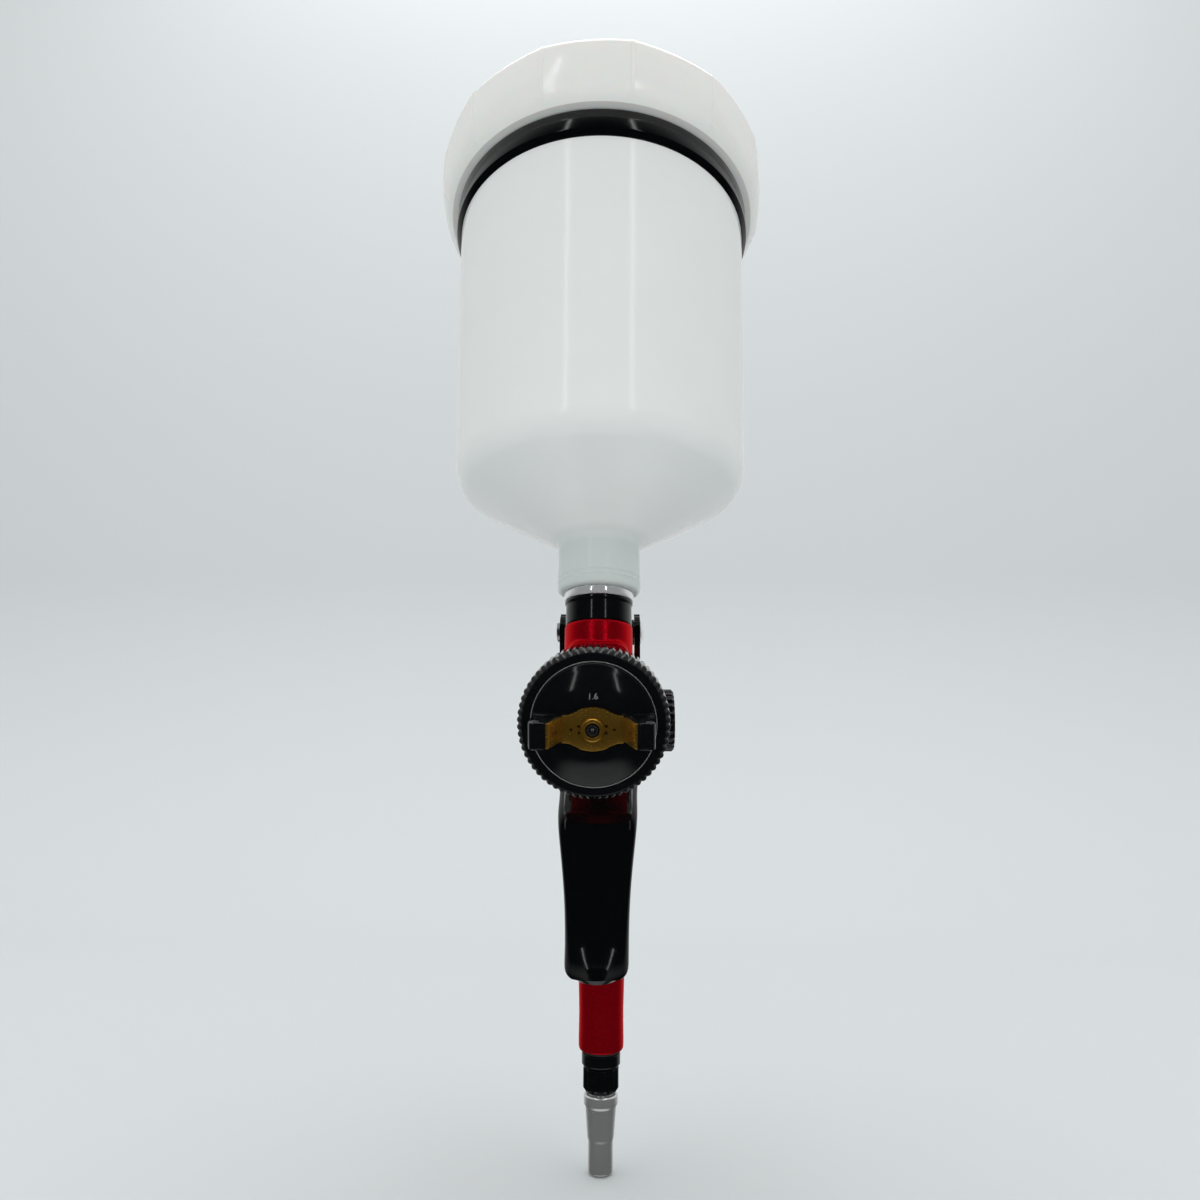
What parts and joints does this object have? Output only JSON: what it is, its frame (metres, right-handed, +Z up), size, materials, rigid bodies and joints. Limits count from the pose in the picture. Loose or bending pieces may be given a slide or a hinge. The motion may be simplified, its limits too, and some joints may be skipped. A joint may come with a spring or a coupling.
{
  "type": "gravity-feed spray gun",
  "caption": "Gravity-feed paint spray gun with a screw-on plastic cup, a two-finger trigger, an air cap with horns and a quick-connect air plug.",
  "frame": {"origin": "centre of the air plug's tip, where the air coupling takes it", "axes": "+Z up along the handle's axis, parallel to the cup's axis; the nozzle points along -Y and 18 degrees down; +X to the side of the fan-control knob"},
  "size_m": [0.108, 0.1476, 0.3222],
  "materials": {
    "red_anodised": "metallic red anodised, glossy",
    "black_anodised": "black anodised, glossy",
    "black_gloss_paint": "gloss black coated",
    "black_gloss_plastic": "gloss black",
    "polished_steel": "mirror polished",
    "nickel_plate": "satin nickel",
    "stainless": "turned",
    "spring_steel": "drawn wire",
    "gold_brass": "bright",
    "cup_plastic": "milky translucent, smooth",
    "strainer_plastic": "smooth",
    "lid_plastic": "cream white, glossy",
    "white_seal": "smooth",
    "black_rubber": "matt"
  },
  "bodies": {
    "gun": {"gun_body": "red_anodised", "neck_adapter": "black_anodised", "neck_ring": "polished_steel", "inlet_seal": "black_rubber", "inlet_fitting": "black_anodised", "air_plug": "nickel_plate", "fluid_tip": "stainless", "air_baffle": "nickel_plate", "cap_seal": "white_seal", "needle_packing": "white_seal", "packing_nut": "gold_brass", "knob_guide": "nickel_plate", "valve_guide": "nickel_plate", "valve_seat": "white_seal", "valve_cap": "black_anodised", "passage_plugs": "nickel_plate", "fan_bushing": "black_anodised", "pivot_washers": "black_gloss_plastic", "pivot_pin": "polished_steel", "pivot_clip": "spring_steel", "needle_spring": "spring_steel", "valve_spring": "spring_steel"},
    "trigger": {"trigger": "black_gloss_paint"},
    "needle": {"needle": "stainless", "needle_collar": "nickel_plate", "needle_sleeve": "stainless"},
    "air_valve": {"valve_stem": "stainless"},
    "fluid_knob": {"fluid_knob": "black_anodised"},
    "fan_control": {"fan_spindle": "stainless", "fan_knob": "black_anodised"},
    "cap_ring": {"air_cap_ring": "black_anodised", "cap_ring_clip": "stainless"},
    "air_cap": {"air_cap": "black_anodised", "air_cap_core": "gold_brass"},
    "cup": {"cup": "cup_plastic", "cup_collar": "black_gloss_plastic"},
    "strainer": {"cup_strainer": "strainer_plastic"},
    "lid_seal": {"lid_gasket": "white_seal"},
    "lid": {"lid": "lid_plastic", "lid_vent": "lid_plastic"}
  },
  "joints": [
    {"name": "trigger_pull", "type": "hinge", "parent": "gun", "child": "trigger", "pos_m": [0, -0.047, 0.1632], "axis": [1, 0, 0], "range_deg": [0, 14.5], "stiffness_Nm_per_rad": 0.6, "springref_deg": -20.05},
    {"name": "needle_slide", "type": "slide", "parent": "gun", "child": "needle", "axis": [0, 0.9511, 0.309], "range_m": [0, 0.0052], "deforming": ["needle_spring"]},
    {"name": "air_valve_slide", "type": "slide", "parent": "gun", "child": "air_valve", "axis": [0, 0.9511, 0.309], "range_m": [0, 0.008], "deforming": ["valve_spring"]},
    {"name": "fluid_knob_turn", "type": "hinge", "parent": "gun", "child": "fluid_knob", "pos_m": [0, -0.062, 0.1412], "axis": [0, 0.9511, 0.309], "range_deg": [0, 1080]},
    {"name": "fan_knob_turn", "type": "hinge", "parent": "gun", "child": "fan_control", "pos_m": [0.02, -0.07497, 0.13289], "axis": [1, 0, 0], "range_deg": [0, 270]},
    {"name": "cap_ring_turn", "type": "hinge", "parent": "gun", "child": "cap_ring", "pos_m": [0, -0.062, 0.1412], "axis": [0, -0.9511, -0.309], "continuous": true},
    {"name": "air_cap_turn", "type": "hinge", "parent": "gun", "child": "air_cap", "pos_m": [0, -0.062, 0.1412], "axis": [0, -0.9511, -0.309], "range_deg": [-90, 90]},
    {"name": "cup_turn", "type": "hinge", "parent": "gun", "child": "cup", "pos_m": [0, -0.062, 0.1714], "axis": [0, 0, 1], "continuous": true},
    {"name": "strainer_lift", "type": "slide", "parent": "cup", "child": "strainer", "axis": [0, 0, 1], "range_m": [0, 0.06]},
    {"name": "lid_lift", "type": "slide", "parent": "cup", "child": "lid_seal", "axis": [0, 0, 1], "range_m": [0, 0.04]},
    {"name": "lid_turn", "type": "hinge", "parent": "lid_seal", "child": "lid", "pos_m": [0, -0.062, 0.31], "axis": [0, 0, 1], "continuous": true}
  ],
  "couplings": [
    {"joint": "needle_slide", "follows": "trigger_pull", "m_per_rad": 0.02},
    {"joint": "air_valve_slide", "follows": "trigger_pull", "m_per_rad": 0.031}
  ]
}
